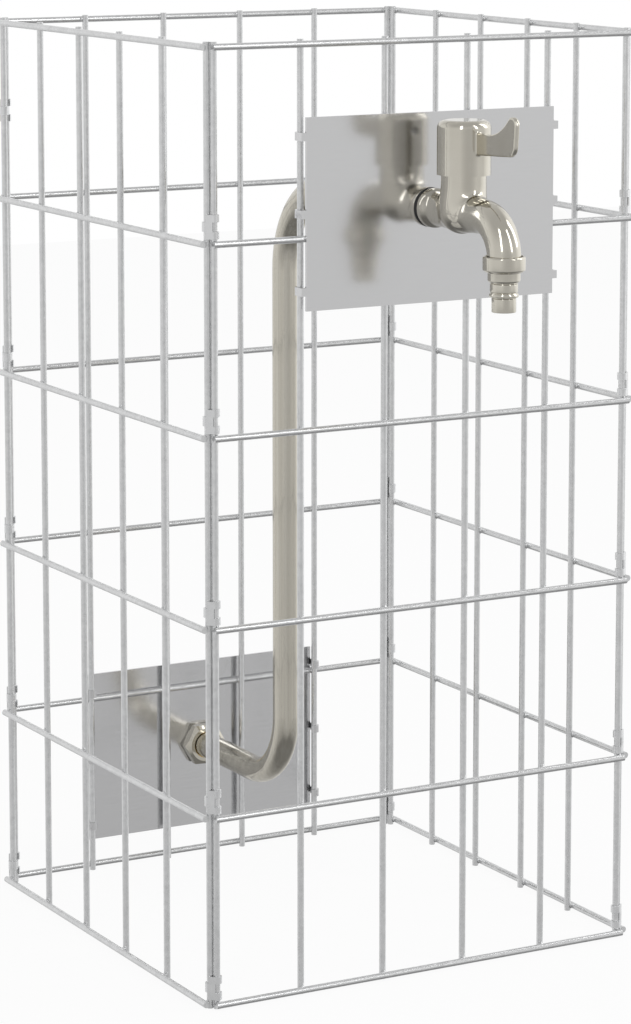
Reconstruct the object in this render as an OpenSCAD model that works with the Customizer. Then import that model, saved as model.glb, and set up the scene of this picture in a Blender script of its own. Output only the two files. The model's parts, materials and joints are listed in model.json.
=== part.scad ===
// Garden standpipe: a square cage of four welded wire panels carries two steel plates.
// Water comes in through the low rear plate, climbs a bent pipe and leaves by a quarter-turn
// lever tap on the high front plate. Millimetres, front towards -Y, +Z up.
// The origin lies on the ground, at the centre of the cage.

/* [Cage] */
// Pitch of the upright wires
cell_w = 50; // [44:1:70]
// Pitch of the level rails
cell_h = 100; // [90:1:150]
// Cells across the front and the rear, an odd number
cells_wide = 5; // [5:2:9]
// Cells from front to rear
cells_deep = 5; // [4:1:8]
// Cells from bottom to top
cells_high = 5; // [4:1:8]
// Diameter of the wire
wire_d = 3.5; // [3:0.1:4.5]
// How deep a rail sinks into an upright at each weld
weld_sink = 0.3; // [0.1:0.05:0.6]
// How far the uprights run past the axis of the top and bottom rails
upright_overrun = 2.5; // [2:0.1:8]
// How far the rails run past the axis of the corner uprights
rail_overrun = 2; // [0.5:0.1:3.5]
// Gap between the two uprights that meet at a corner
corner_gap = 0.2; // [0.1:0.05:0.5]

/* [Corner clips] */
// Height of a clip
clip_h = 12.5; // [10:0.5:20]
// Sheet thickness of a clip
clip_t = 0.8; // [0.5:0.1:1.2]
// Height of the tabs at a clip's two ends
clip_end_tab_h = 3.8; // [2:0.1:4.5]
// How far a tab curls round its wire, in degrees
clip_wrap = 200; // [150:5:220]
// Gap between a clip and its wires
clip_gap = 0.1; // [0.05:0.05:0.3]
// Gap between a clip and the rail under it
clip_rise = 0.8; // [0.3:0.1:10]

/* [Plates] */
// Cells that a plate spans, an odd number
plate_cells = 3; // [1:2:3]
// Height of a plate
plate_h = 100; // [90:1:130]
// Thickness of a plate
plate_t = 1.5; // [1:0.1:3]
// Height of a lug
lug_h = 4.3; // [3:0.1:8]
// Sheet thickness of a lug
lug_t = 1; // [0.6:0.1:1.5]
// Distance between neighbouring lugs
lug_pitch = 40; // [34:0.5:42]
// How far a lug curls round its wire, in degrees
lug_wrap = 150; // [90:5:200]
// Gap between a lug and its wire
lug_gap = 0.1; // [0.05:0.05:0.3]
// Gap between the rear plate's upper lugs and the rail under them
lug_rail_gap = 0.4; // [0.3:0.1:3]
// Gap between a fitting and the edge of its hole in a plate
hole_gap = 0.3; // [0.1:0.05:0.6]

/* [Pipe] */
// Outside diameter of the pipe
pipe_d = 15; // [14:0.1:16]
// Wall of the pipe
pipe_wall = 1; // [0.7:0.1:1.4]
// Radius of the lower bend, at the middle of the pipe
lower_bend_r = 40; // [30:1:50]
// Radius of the upper bend, at the middle of the pipe
upper_bend_r = 50; // [30:1:70]
// How far the riser stands behind the middle of the cage
riser_y = 26; // [10:0.5:40]
// Gap between the pipe and what it is pushed into
pipe_gap = 0.05; // [0.02:0.01:0.1]

/* [Inlet] */
// Outside diameter of the inlet thread
inlet_thread_d = 20.95; // [20:0.05:26.5]
// Length of the inlet thread
inlet_stub_l = 15; // [10:0.5:25]
// Diameter of the inlet's waterway
inlet_bore_d = 12; // [8:0.5:12.5]
// How far the collar's flats stand out from the inlet thread
collar_wall = 1.5; // [1:0.1:4]
// Thickness of the collar
collar_t = 5; // [3:0.5:10]
// Wall of the connector round the pipe
connector_wall = 1.65; // [1.2:0.05:2.2]
// How far the connector reaches inside the rear plate
connector_inner_l = 2.6; // [2.4:0.1:5]
// How far the pipe is pushed into the connector
connector_socket_l = 10; // [6:0.5:16]
// Wall of the compression nut at its flats
inlet_nut_wall = 2.4; // [1.5:0.1:4]
// Thickness of the lip that presses on the olive
inlet_lip_t = 1.8; // [1.5:0.1:3.5]
// Gap round the olive, less than the nut's thread has
olive_inset = 0.25; // [0.1:0.05:0.6]
// Length of the olive
olive_l = 2.8; // [2:0.1:5]
// Gap between the olive and the connector
olive_gap = 0.2; // [0.1:0.05:0.4]
// Width of the inlet washer's ring
inlet_washer_rim = 4; // [3:0.1:6]
// Thickness of the inlet washer
inlet_washer_t = 1.5; // [1:0.1:3]
// Gap at threads that don't turn in use
thread_gap = 0.05; // [0.02:0.01:0.1]

/* [Outlet tail] */
// Wall of the tail round the pipe
tail_wall = 0.95; // [0.7:0.05:1.6]
// How far the flange behind the front plate stands out from the tail's thread
tail_flange_rim = 2; // [1.5:0.1:4]
// Thickness of that flange
tail_flange_t = 3; // [2:0.1:5]
// Gap between that flange and the rail under it
tail_rail_gap = 0.55; // [0.3:0.05:3]
// Length of thread inside the tap
tail_thread_l = 5; // [4:0.5:6]
// Diameter of the tail's waterway
tail_bore_d = 11; // [8:0.5:12.5]

/* [Tap body] */
// Wall of the level barrel's rim round the tail's thread
barrel_wall = 1.9; // [1.5:0.05:2.8]
// Length of the barrel's full-width rim at the plate
rim_l = 2.6; // [2:0.1:4]
// Length of the slope from the rim down to the barrel's waist
waist_slope_l = 5.4; // [4:0.1:7]
// How far the waist lies below the rim, all round
waist_tuck = 1.4; // [0.8:0.1:1.6]
// Thickness of the washer between the tap and the front plate
tap_washer_t = 1.2; // [0.8:0.1:3]
// Distance from the front plate to the lever's axis
hub_reach = 31.6; // [30:0.1:45]
// Distance from the lever's axis to the nozzle's axis
spout_ahead = 39.4; // [36:0.1:55]
// Wall of the upright neck
neck_wall = 2.35; // [1.8:0.05:3]
// Height of the neck's top above the roof over the valve's discs
neck_rise = 4.5; // [4:0.1:6]
// How far the belly's underside lies above the rim's
belly_tuck = 0.25; // [0.1:0.05:0.6]
// Rounding of the belly's lower edge
belly_round = 8; // [3:0.1:9]
// Diameter of the spout
spout_d = 18; // [16:0.1:18.4]
// How far the spout's side flares out towards the neck
spout_flare = 0.8; // [0.2:0.05:1]
// Radius of the spout's bend, at its middle
spout_bend_r = 20; // [18:0.5:24]
// Step between the waterway to the seat and the hole in the seat
bore_step = 0.3; // [0.2:0.05:0.6]
// How far the waterway to the seat lies below the tap's axis
tap_bore_drop = 2.5; // [2:0.1:3]
// Diameter of the spout's waterway
spout_bore_d = 11; // [10:0.1:12]
// How far in front of the valve seat the spout's waterway starts
waterway_step = 0.4; // [0.2:0.1:0.8]

/* [Valve] */
// Room between the cartridge's skirt and the chamber
chamber_gap = 1.15; // [0.8:0.05:1.5]
// How far the spout's waterway reaches up into the chamber
chamber_cut = 1.5; // [1:0.1:2]
// Diameter of the hole in the valve seat
seat_bore_d = 9; // [8.8:0.1:9.5]
// Wall of the valve seat
seat_wall = 2; // [1.5:0.1:2.2]
// Height of the valve seat above the chamber's floor
seat_h = 3; // [2:0.1:3.5]
// Thickness of the seat's seal
seal_t = 2; // [1.5:0.1:2.5]
// Diameter of the two ceramic discs
disc_d = 14; // [13.8:0.1:14.8]
// Thickness of each ceramic disc
disc_t = 3; // [2.5:0.1:3.2]
// Diameter of the ports in the discs
port_d = 3.4; // [2.5:0.1:3.6]
// Distance of the ports from the discs' middle
port_reach = 2.6; // [2.2:0.1:2.8]
// Water film between faces that slide on each other
film = 0.03; // [0.02:0.01:0.08]
// Gap round what turns in a bore
running_gap = 0.06; // [0.03:0.01:0.1]
// Wall of the cartridge round the discs
cartridge_wall = 1.2; // [1:0.1:1.4]
// Length of the cartridge's thread
cartridge_thread_l = 5.5; // [4:0.1:6]
// Thickness of the gasket under the cartridge's flange
gasket_t = 1; // [0.5:0.1:1.5]
// How far the cartridge's flange lies inside the neck's side
flange_inset = 0.75; // [0.4:0.05:1.2]
// Thickness of the cartridge's flange
flange_t = 1.5; // [1:0.1:2]
// Width across the flats of the cartridge's hexagon
cartridge_af = 18; // [16:0.1:19]
// Height of the cartridge's hexagon
cartridge_hex_h = 4; // [3:0.1:5]
// Diameter of the spindle
spindle_d = 9; // [8:0.1:10]
// Thickness of the spindle's foot
foot_t = 2.4; // [2:0.1:3]
// How far the corners of the spindle's square end lie inside its round part
square_inset = 0.12; // [0.05:0.01:0.3]
// Thickness of the seal rings on the spindle
ring_t = 1; // [0.8:0.1:1.2]
// How much wider a seal ring's groove is than the ring
ring_play = 0.2; // [0.1:0.05:0.4]
// How far the spindle's retaining clip stands out from it
clip_ring_rim = 2; // [1.5:0.1:3]
// Thickness of the retaining clip, and depth of its groove
clip_ring_t = 1; // [0.8:0.1:1.2]
// Mouth of the retaining clip, as a share of its groove's diameter
clip_mouth_share = 0.8; // [0.6:0.05:0.9]

/* [Lever] */
// Gap between the hub and the neck that it covers
hub_gap = 0.45; // [0.3:0.05:1]
// Wall of the hub's skirt
hub_wall = 1.8; // [1.2:0.1:3]
// How far the hub reaches down over the neck
hub_overlap = 2; // [1:0.1:4]
// Room between the spindle's shoulder and the hub's inner roof
hub_roof_gap = 3.5; // [1:0.1:6]
// How far the spindle's square goes into the hub
square_l = 9; // [6:0.1:12]
// Thickness of the hub over the spindle
hub_cap_t = 5.2; // [4.4:0.1:9]
// Rounding of the hub's upper edge
hub_round = 4; // [1:0.1:6]
// Distance from the lever's axis to its far end
lever_reach = 51.4; // [42:0.1:70]
// Thickness of the lever
lever_t = 2.6; // [2:0.1:5]
// How far the lever's upper edge lies below the hub's top, at the hub
lever_drop = 5.8; // [4.2:0.1:8]
// Height of the lever at the hub
lever_root_h = 12; // [8:0.1:13]
// Length of the lever's level upper edge, from the hub
lever_flat_l = 10; // [4:0.1:14]
// How far the lever's tip stands above that edge
lever_tip_rise = 10.5; // [5:0.1:16]
// How far the lever's lower edge climbs to its outer corner
lever_under_rise = 2; // [0:0.1:4]
// Rounding of the lever's tip
lever_tip_r = 4.3; // [3:0.1:5]
// Rounding of the lever's outer lower corner
lever_corner_r = 6; // [1.5:0.1:7]
// How far that corner lies behind the lever's far end
lever_corner_inset = 1; // [0.5:0.1:4]
// Diameter of the grub screw
screw_d = 4; // [3:0.1:5]
// Depth of the grub screw's end under the hub's side
screw_recess = 2.8; // [2:0.1:4]
// Width across the flats of the grub screw's socket
screw_af = 2; // [1.5:0.1:2.5]
// Angle that the lever turns to open the tap, in degrees
lever_turn = 90; // [85:1:95]

/* [Nozzle] */
// How far the nozzle nut covers the end of the spout's bend
nut_cover = 2; // [1:0.1:4]
// Wall of the nozzle nut
nut_wall = 1.45; // [1:0.05:3]
// Height of the nozzle nut
nut_h = 8.3; // [8:0.1:14]
// Bevel round the nozzle nut's foot
nut_bevel = 1.2; // [0.5:0.1:1.2]
// Thickness of the nut's lower lip
nut_lip_t = 1.7; // [1.2:0.1:2.2]
// How far the spout's thread stands out from the spout
spigot_step = 0.5; // [0.2:0.05:1]
// Thickness of the nozzle's flange
nozzle_flange_t = 1.2; // [1:0.1:1.6]
// Thickness of the washer on that flange
nozzle_washer_t = 1; // [0.8:0.1:1.5]
// How far the nozzle's flange stands out from the nozzle
nozzle_step = 1; // [0.8:0.05:1.2]
// Length of the nozzle's plain top that shows under the nut
nozzle_top_l = 5; // [3:0.1:10]
// Diameter of the nozzle's middle
nozzle_middle_d = 14.4; // [13.4:0.1:14.8]
// Length of the nozzle's middle
nozzle_middle_l = 7.5; // [6:0.1:15]
// Height and depth of the groove above the middle
nozzle_groove_t = 0.6; // [0.4:0.1:1]
// Height of the bead at the middle's foot
nozzle_bead_h = 2.2; // [1.5:0.1:4]
// How far that bead stands out from the middle
nozzle_bead_rim = 0.5; // [0.3:0.1:0.8]
// Diameter of the nozzle's plain end
nozzle_end_d = 12.6; // [12:0.1:13]
// Length of the plain end
nozzle_end_l = 7.8; // [5:0.1:15]
// Diameter of the nozzle's waterway
nozzle_bore_d = 9; // [7:0.1:10]

/* [Hidden] */
$fn = 64;

galvanised = [0.74, 0.75, 0.76];
stainless = [0.68, 0.69, 0.7];
nickel = [0.72, 0.7, 0.64];
raw_brass = [0.78, 0.62, 0.32];
ceramic = [0.94, 0.93, 0.9];
black_rubber = [0.08, 0.08, 0.08];

// A cut runs this far past the face that it goes through
past = 1;

// Cage
wire_r = wire_d / 2;
half_w = cells_wide * cell_w / 2;
half_d = cells_deep * cell_w / 2;
corner_step = (wire_d + corner_gap) / sqrt(2);
front_plane = half_d + corner_step;
side_plane = half_w + corner_step;
rail_step = wire_d - weld_sink;
rail_z = [for (k = [0:cells_high]) upright_overrun + k * cell_h];
cage_h = cells_high * cell_h + 2 * upright_overrun;
corner_half = (wire_d + corner_gap) / 2;
clip_in_r = wire_r + clip_gap;
clip_z = [for (k = [0:cells_high - 1]) rail_z[k] + wire_r + clip_rise];
top_cell_clip_z = rail_z[cells_high] - (cell_h + clip_h) / 2;
shifted_clip_z = [for (k = [0:cells_high - 1]) k < cells_high - 1 ? clip_z[k] : top_cell_clip_z];

// Plates, with distances from the middle of the cage
plate_back = front_plane + rail_step + wire_r;
plate_front = plate_back + plate_t;
plate_half = plate_cells * cell_w / 2;
lug_depth = rail_step + wire_r;
lug_in_r = wire_r + lug_gap;
lug_out_r = lug_in_r + lug_t;
inlet_z = rail_z[1] + wire_r + lug_rail_gap + lug_h / 2 - lug_pitch;

// Inlet, along its axis from the inner face of the rear plate
inlet_washer_z = plate_t;
collar_z = inlet_washer_z + inlet_washer_t;
stub_z = collar_z + collar_t;
stub_end = stub_z + inlet_stub_l;
connector_stop = connector_socket_l - connector_inner_l;
socket_d = pipe_d + 2 * pipe_gap;
connector_thread_d = socket_d + 2 * connector_wall;
nut_bore_d = connector_thread_d + 2 * thread_gap;
inlet_nut_af = nut_bore_d + 2 * inlet_nut_wall;
inlet_nut_z = -connector_inner_l - olive_gap - olive_l - inlet_lip_t;
olive_z = inlet_nut_z + inlet_lip_t;
olive_d = connector_thread_d - 2 * olive_inset;
collar_af = inlet_thread_d + 2 * collar_wall;

// Outlet tail, along its axis from the outer face of the front plate
tail_thread_d = socket_d + 2 * tail_wall;
tail_flange_d = tail_thread_d + 2 * tail_flange_rim;
tail_back = plate_t + tail_flange_t;
tail_end = -tap_washer_t - tail_thread_l;
tap_z = rail_z[cells_high - 1] + wire_r + tail_rail_gap + tail_flange_d / 2;

// Pipe ends, with distances from the middle of the cage
pipe_rear_end = plate_back + connector_stop;
pipe_front_end = plate_front;

// Valve, with heights above the tap's axis
seat_d = seat_bore_d + 2 * seat_wall;
chamber_floor = spout_bore_d / 2 - chamber_cut;
seat_z = chamber_floor + seat_h;
lower_disc_z = seat_z + seal_t;
upper_disc_z = lower_disc_z + disc_t + film;
foot_z = upper_disc_z + disc_t;
cartridge_roof = foot_z + foot_t + film;
cartridge_bore_d = disc_d + 2 * running_gap;
cartridge_skirt_d = cartridge_bore_d + 2 * cartridge_wall;
chamber_d = cartridge_skirt_d + 2 * chamber_gap;
cartridge_thread_d = chamber_d - 2 * thread_gap;
neck_d = chamber_d + 2 * neck_wall;
neck_h = cartridge_roof + neck_rise;
flange_d = neck_d - 2 * flange_inset;
flange_z = neck_h + gasket_t;
hex_z = flange_z + flange_t;
hex_top = hex_z + cartridge_hex_h;

// Spindle, with heights above the tap's axis
spindle_bore_d = spindle_d + 2 * running_gap;
ring_groove_d = spindle_d - 2 * ring_t;
ring_groove_h = ring_t + ring_play;
ring_span = hex_top - cartridge_roof;
ring_z = [cartridge_roof + ring_span / 4, cartridge_roof + 3 * ring_span / 4];
clip_ring_z = hex_top + film;
clip_groove_d = spindle_d - 2 * clip_ring_t;
clip_ring_d = spindle_d + 2 * clip_ring_rim;
spindle_shoulder = clip_ring_z + 2 * clip_ring_t;
square_w = (spindle_d - 2 * square_inset) / sqrt(2);

// Lever, with heights above the tap's axis
hub_cavity_d = neck_d + 2 * hub_gap;
hub_d = hub_cavity_d + 2 * hub_wall;
hub_foot = neck_h - hub_overlap;
hub_roof = spindle_shoulder + hub_roof_gap;
square_top = hub_roof + square_l;
hub_top = square_top + hub_cap_t;
screw_z = hub_roof + square_l / 2;
screw_start = square_w / 2;
screw_end = hub_d / 2 - screw_recess;

// Tap body, along its axis from the outer face of the front plate
barrel_d = tail_thread_d + 2 * thread_gap + 2 * barrel_wall;
barrel_end = neck_d / 4 - hub_reach;
slope_steps = 8;
belly_drop = barrel_d / 2 - belly_tuck;
spout_reach = hub_reach + spout_ahead;
spout_root_d = spout_d + 2 * spout_flare;
bend_start = spout_bend_r - spout_reach;
tap_bore_d = seat_bore_d - 2 * bore_step;
spout_bore_start = -hub_reach - seat_d / 2 - waterway_step;

// Nozzle, with heights above the tap's axis
nut_top = nut_cover - spout_bend_r;
spigot_top = nut_cover / 2 - spout_bend_r;
nut_foot = nut_top - nut_h;
lip_top = nut_foot + nut_lip_t;
nozzle_flange_z = lip_top + film;
nozzle_washer_z = nozzle_flange_z + nozzle_flange_t;
spout_end_z = nozzle_washer_z + nozzle_washer_t;
nut_thread_d = spout_d + 2 * spigot_step;
nut_inner_d = nut_thread_d + 2 * running_gap;
nut_d = nut_inner_d + 2 * nut_wall;
nozzle_flange_d = nut_thread_d - 2 * running_gap;
nozzle_top_d = nozzle_flange_d - 2 * nozzle_step;
nut_mouth_d = nozzle_top_d + 2 * running_gap;
nozzle_middle_z = nut_foot - nozzle_top_l;
nozzle_end_z = nozzle_middle_z - nozzle_middle_l;
nozzle_bead_z = nozzle_end_z + nozzle_bead_h;
nozzle_tip_z = nozzle_end_z - nozzle_end_l;

// Points along an arc, from angle a0 to angle a1
function arc(centre, r, a0, a1, steps) =
    [for (i = [0:steps]) centre + r * [cos(a0 + (a1 - a0) * i / steps), sin(a0 + (a1 - a0) * i / steps)]];

// Turns what stands along Z to run along +Y
module along_y() {
    rotate([-90, 0, 0]) children();
}

// Turns what is drawn in the XY plane into the upright plane YZ
module in_yz() {
    rotate([90, 0, 90]) children();
}

// A round bar from one height to another
module bar(d, z0, z1) {
    translate([0, 0, z0]) cylinder(d = d, h = z1 - z0);
}

// A square bar from one height to another
module square_bar(w, z0, z1) {
    translate([-w / 2, -w / 2, z0]) cube([w, w, z1 - z0]);
}

// A round ring from one height to another
module ring(outer_d, inner_d, z0, z1) {
    difference() {
        bar(outer_d, z0, z1);
        bar(inner_d, z0 - past, z1 + past);
    }
}

// A hexagonal prism with its corners turned down at both ends
module hexagon(af, z0, z1) {
    corner_d = af / cos(30);
    turn_down = (corner_d - af) / 2;
    intersection() {
        translate([0, 0, z0]) cylinder(d = corner_d, h = z1 - z0, $fn = 6);
        rotate_extrude() polygon([
            [0, z0], [af / 2, z0], [corner_d / 2, z0 + turn_down / 2],
            [corner_d / 2, z1 - turn_down / 2], [af / 2, z1], [0, z1]
        ]);
    }
}

// One welded panel seen from outside, with its uprights behind its rails
module mesh_panel(columns, stand_off) {
    half_span = columns * cell_w / 2;
    rail_half = half_span + rail_overrun;
    color(galvanised) translate([0, -stand_off, 0]) union() {
        for (i = [0:columns]) translate([i * cell_w - half_span, 0, 0]) bar(wire_d, 0, cage_h);
        for (z = rail_z)
            translate([0, -rail_step, z]) rotate([0, 90, 0]) bar(wire_d, -rail_half, rail_half);
    }
}

module front_mesh_panel() {
    mesh_panel(cells_wide, front_plane);
}

module rear_mesh_panel() {
    rotate(180) mesh_panel(cells_wide, front_plane);
}

module left_mesh_panel() {
    rotate(-90) mesh_panel(cells_deep, side_plane);
}

module right_mesh_panel() {
    rotate(90) mesh_panel(cells_deep, side_plane);
}

// A tab that leaves a clip's outer sheet at +X and curls round the wire at +Y
module clip_tab(z0, h) {
    translate([0, corner_half, z0]) rotate_extrude(angle = clip_wrap)
        translate([clip_in_r, 0]) square([clip_t, h]);
}

// A clip round the two uprights of a corner: a sheet outside them, two tabs on the wire at +Y, one at -Y
module corner_clip() {
    mid_tab_h = clip_h - 2 * clip_end_tab_h;
    union() {
        translate([clip_in_r, -corner_half, 0]) cube([clip_t, 2 * corner_half, clip_h]);
        clip_tab(0, clip_end_tab_h);
        clip_tab(clip_h - clip_end_tab_h, clip_end_tab_h);
        mirror([0, 1, 0]) clip_tab(clip_end_tab_h, mid_tab_h);
    }
}

// The clips up one corner, which faces outwards at the given angle: two tabs on the front or rear panel
module corner_clips(side, end, outwards, heights) {
    middle_x = side * (half_w + side_plane) / 2;
    middle_y = end * (half_d + front_plane) / 2;
    color(galvanised) for (z = heights)
        translate([middle_x, middle_y, z]) rotate(outwards) {
            if (side == end) corner_clip();
            else mirror([0, 1, 0]) corner_clip();
        }
}

module front_left_clips() {
    corner_clips(-1, -1, 225, clip_z);
}

module front_right_clips() {
    corner_clips(1, -1, 315, clip_z);
}

// This corner's top clip sits half way up the top cell
module rear_left_clips() {
    corner_clips(-1, 1, 135, shifted_clip_z);
}

module rear_right_clips() {
    corner_clips(1, 1, 45, clip_z);
}

// A strip that leaves a plate's edge at +X, passes the upright and curls behind it
module plate_lug() {
    translate([plate_half, -plate_t, -lug_h / 2]) cube([lug_out_r, plate_t, lug_h]);
    translate([plate_half + lug_in_r, 0, -lug_h / 2]) cube([lug_t, lug_depth, lug_h]);
    translate([plate_half, lug_depth, -lug_h / 2]) rotate_extrude(angle = lug_wrap)
        translate([lug_in_r, 0]) square([lug_t, lug_h]);
}

// A plate against the outside of a panel's rails, with its outer face towards -Y
module mounting_plate(hole_d) {
    color(stainless) translate([0, -plate_back, 0]) difference() {
        union() {
            translate([-plate_half, -plate_t, -plate_h / 2]) cube([2 * plate_half, plate_t, plate_h]);
            for (flip = [0, 1]) mirror([flip, 0, 0])
                for (k = [-1:1]) translate([0, 0, k * lug_pitch]) plate_lug();
        }
        along_y() bar(hole_d, -plate_t - past, past);
    }
}

module front_plate() {
    translate([0, 0, tap_z]) mounting_plate(tail_thread_d + 2 * hole_gap);
}

module rear_plate() {
    translate([0, 0, inlet_z]) rotate(180) mounting_plate(connector_thread_d + 2 * hole_gap);
}

// The pipe's route as a solid rod, from the rear plate up to the front plate
module pipe_rod(d, overrun) {
    riser_foot = inlet_z + lower_bend_r;
    riser_head = tap_z - upper_bend_r;
    lower_end = riser_y + lower_bend_r;
    upper_end = riser_y - upper_bend_r;
    translate([0, 0, inlet_z]) along_y() bar(d, lower_end, pipe_rear_end + overrun);
    translate([0, lower_end, riser_foot]) in_yz() rotate(180)
        rotate_extrude(angle = 90) translate([lower_bend_r, 0]) circle(d = d);
    translate([0, riser_y, 0]) bar(d, riser_foot, riser_head);
    translate([0, upper_end, riser_head]) in_yz()
        rotate_extrude(angle = 90) translate([upper_bend_r, 0]) circle(d = d);
    translate([0, 0, tap_z]) along_y() bar(d, -pipe_front_end - overrun, upper_end);
}

module riser_pipe() {
    color(nickel) difference() {
        pipe_rod(pipe_d, 0);
        pipe_rod(pipe_d - 2 * pipe_wall, past);
    }
}

// Puts a piece on the inlet's axis, with zero at the inner face of the rear plate
module at_inlet() {
    translate([0, plate_back, inlet_z]) along_y() children();
}

// Thread for the nut, hexagonal collar outside the plate and thread for the supply
module inlet_connector() {
    color(nickel) at_inlet() difference() {
        union() {
            bar(connector_thread_d, -connector_inner_l, stub_z);
            hexagon(collar_af, collar_z, stub_z);
            bar(inlet_thread_d, stub_z - collar_t / 2, stub_end);
        }
        bar(inlet_bore_d, -connector_inner_l - past, stub_end + past);
        bar(socket_d, -connector_inner_l - past, connector_stop);
    }
}

module inlet_compression_nut() {
    color(nickel) at_inlet() difference() {
        hexagon(inlet_nut_af, inlet_nut_z, 0);
        bar(nut_bore_d, olive_z, past);
        bar(pipe_d + 2 * hole_gap, inlet_nut_z - past, olive_z + past);
    }
}

// A soft ring, tapered at both ends, that the nut squeezes onto the pipe
module inlet_olive() {
    inner_r = socket_d / 2;
    rim_r = (inner_r + olive_d / 2) / 2;
    color(raw_brass) at_inlet() translate([0, 0, olive_z]) rotate_extrude() polygon([
        [inner_r, 0], [rim_r, 0], [olive_d / 2, olive_l / 3],
        [olive_d / 2, olive_l * 2 / 3], [rim_r, olive_l], [inner_r, olive_l]
    ]);
}

module inlet_washer() {
    inner_d = connector_thread_d + 2 * hole_gap;
    color(black_rubber) at_inlet() ring(inner_d + 2 * inlet_washer_rim, inner_d, inlet_washer_z, collar_z);
}

// Puts a piece on the tap's axis, with zero at the outer face of the front plate
module at_tap() {
    translate([0, -plate_front, tap_z]) children();
}

// Puts a piece on the lever's axis, with heights above the tap's axis
module at_hub() {
    at_tap() translate([0, -hub_reach, 0]) children();
}

// Puts a piece on the nozzle's axis, with heights above the tap's axis
module at_nozzle() {
    at_tap() translate([0, -spout_reach, 0]) children();
}

// A flanged bush on the pipe's end that clamps the plate when the tap is screwed onto it
module outlet_tail() {
    color(nickel) at_tap() along_y() difference() {
        union() {
            bar(tail_flange_d, plate_t, tail_back);
            bar(tail_thread_d, tail_end, plate_t);
        }
        bar(tail_bore_d, tail_end - past, tail_back + past);
        bar(socket_d, 0, tail_back + past);
    }
}

module tap_washer() {
    color(black_rubber) at_tap() along_y()
        ring(barrel_d, tail_thread_d + 2 * hole_gap, -tap_washer_t, 0);
}

// The curved part of the spout, from level to straight down
module spout_bend(d) {
    translate([0, bend_start, -spout_bend_r]) in_yz() rotate(90)
        rotate_extrude(angle = 90) translate([spout_bend_r, 0]) circle(d = d);
}

// The level part of the body: a rim at the plate, a soft slope and a thinner waist
function barrel_outline() =
    concat(
        [[0, -tap_washer_t], [barrel_d / 2, -tap_washer_t]],
        [for (step = [0 : slope_steps]) [
            barrel_d / 2 - waist_tuck * (1 - cos(180 * step / slope_steps)) / 2,
            -tap_washer_t - rim_l - waist_slope_l * step / slope_steps
        ]],
        [[barrel_d / 2 - waist_tuck, barrel_end], [0, barrel_end]]
    );

// The upright part of the body: a plain neck over a rounded belly
function neck_outline() =
    concat(
        [[0, -belly_drop]],
        arc([neck_d / 2 - belly_round, belly_round - belly_drop], belly_round, -90, 0, 8),
        [[neck_d / 2, neck_h], [0, neck_h]]
    );

module tap_casting() {
    along_y() rotate_extrude() polygon(barrel_outline());
    translate([0, -hub_reach, 0]) rotate_extrude() polygon(neck_outline());
    translate([0, bend_start, 0]) along_y()
        cylinder(d1 = spout_d, d2 = spout_root_d, h = -hub_reach - bend_start);
    spout_bend(spout_d);
    translate([0, -spout_reach, 0]) bar(nut_thread_d, spout_end_z, spigot_top);
}

// The room for the cartridge, round a raised seat
module valve_chamber() {
    difference() {
        bar(chamber_d, chamber_floor, neck_h + past);
        bar(seat_d, chamber_floor - past, seat_z);
    }
}

module tap_waterways() {
    along_y() bar(tail_thread_d + 2 * thread_gap, tail_end, past);
    translate([0, 0, -tap_bore_drop]) along_y() bar(tap_bore_d, -hub_reach, tail_end + past);
    translate([0, -hub_reach, 0]) bar(seat_bore_d, -tap_bore_drop, seat_z + past);
    translate([0, -hub_reach, 0]) valve_chamber();
    along_y() bar(spout_bore_d, bend_start, spout_bore_start);
    spout_bend(spout_bore_d);
    translate([0, -spout_reach, 0]) bar(spout_bore_d, spout_end_z - past, -spout_bend_r);
}

module tap_body() {
    color(nickel) at_tap() difference() {
        tap_casting();
        tap_waterways();
    }
}

module seat_seal() {
    color(black_rubber) at_hub() ring(seat_d, seat_bore_d, seat_z, lower_disc_z);
}

// The still disc has two round ports, left and right
module lower_ceramic_disc() {
    color(ceramic) at_hub() difference() {
        bar(disc_d, lower_disc_z, lower_disc_z + disc_t);
        for (side = [-1, 1]) translate([side * port_reach, 0, 0])
            bar(port_d, lower_disc_z - past, lower_disc_z + disc_t + past);
    }
}

// The turning disc has two notches, front and rear while the tap is shut
module upper_ceramic_disc() {
    color(ceramic) at_hub() difference() {
        bar(disc_d, upper_disc_z, foot_z);
        for (turn = [0, 180]) rotate(turn - lever_turn) {
            translate([port_reach, 0, 0]) bar(port_d, upper_disc_z - past, foot_z + past);
            translate([port_reach, -port_d / 2, upper_disc_z - past])
                cube([disc_d, port_d, disc_t + 2 * past]);
        }
    }
}

// The valve's insert: skirt round the discs, side windows, thread, flange and hexagon
module cartridge_body() {
    thread_foot = neck_h - cartridge_thread_l;
    color(raw_brass) at_hub() difference() {
        union() {
            bar(cartridge_skirt_d, lower_disc_z, neck_h);
            bar(cartridge_thread_d, thread_foot, flange_z);
            bar(flange_d, flange_z, hex_z);
            hexagon(cartridge_af, hex_z, hex_top);
        }
        bar(cartridge_bore_d, lower_disc_z - past, cartridge_roof);
        bar(spindle_bore_d, cartridge_roof - past, hex_top + past);
        translate([-disc_d, -port_d, upper_disc_z]) cube([2 * disc_d, 2 * port_d, disc_t]);
    }
}

module cartridge_gasket() {
    color(black_rubber) at_hub() ring(flange_d, chamber_d, neck_h, flange_z);
}

// The lever's shaft: a foot on the turning disc, two seal grooves, a clip groove and a square end
module spindle() {
    color(raw_brass) at_hub() difference() {
        union() {
            bar(disc_d, foot_z, foot_z + foot_t);
            bar(spindle_d, foot_z, spindle_shoulder);
            square_bar(square_w, foot_z, square_top);
        }
        for (z = ring_z)
            ring(spindle_d + past, ring_groove_d, z - ring_groove_h / 2, z + ring_groove_h / 2);
        ring(spindle_d + past, clip_groove_d, clip_ring_z, clip_ring_z + clip_ring_t);
    }
}

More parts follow.
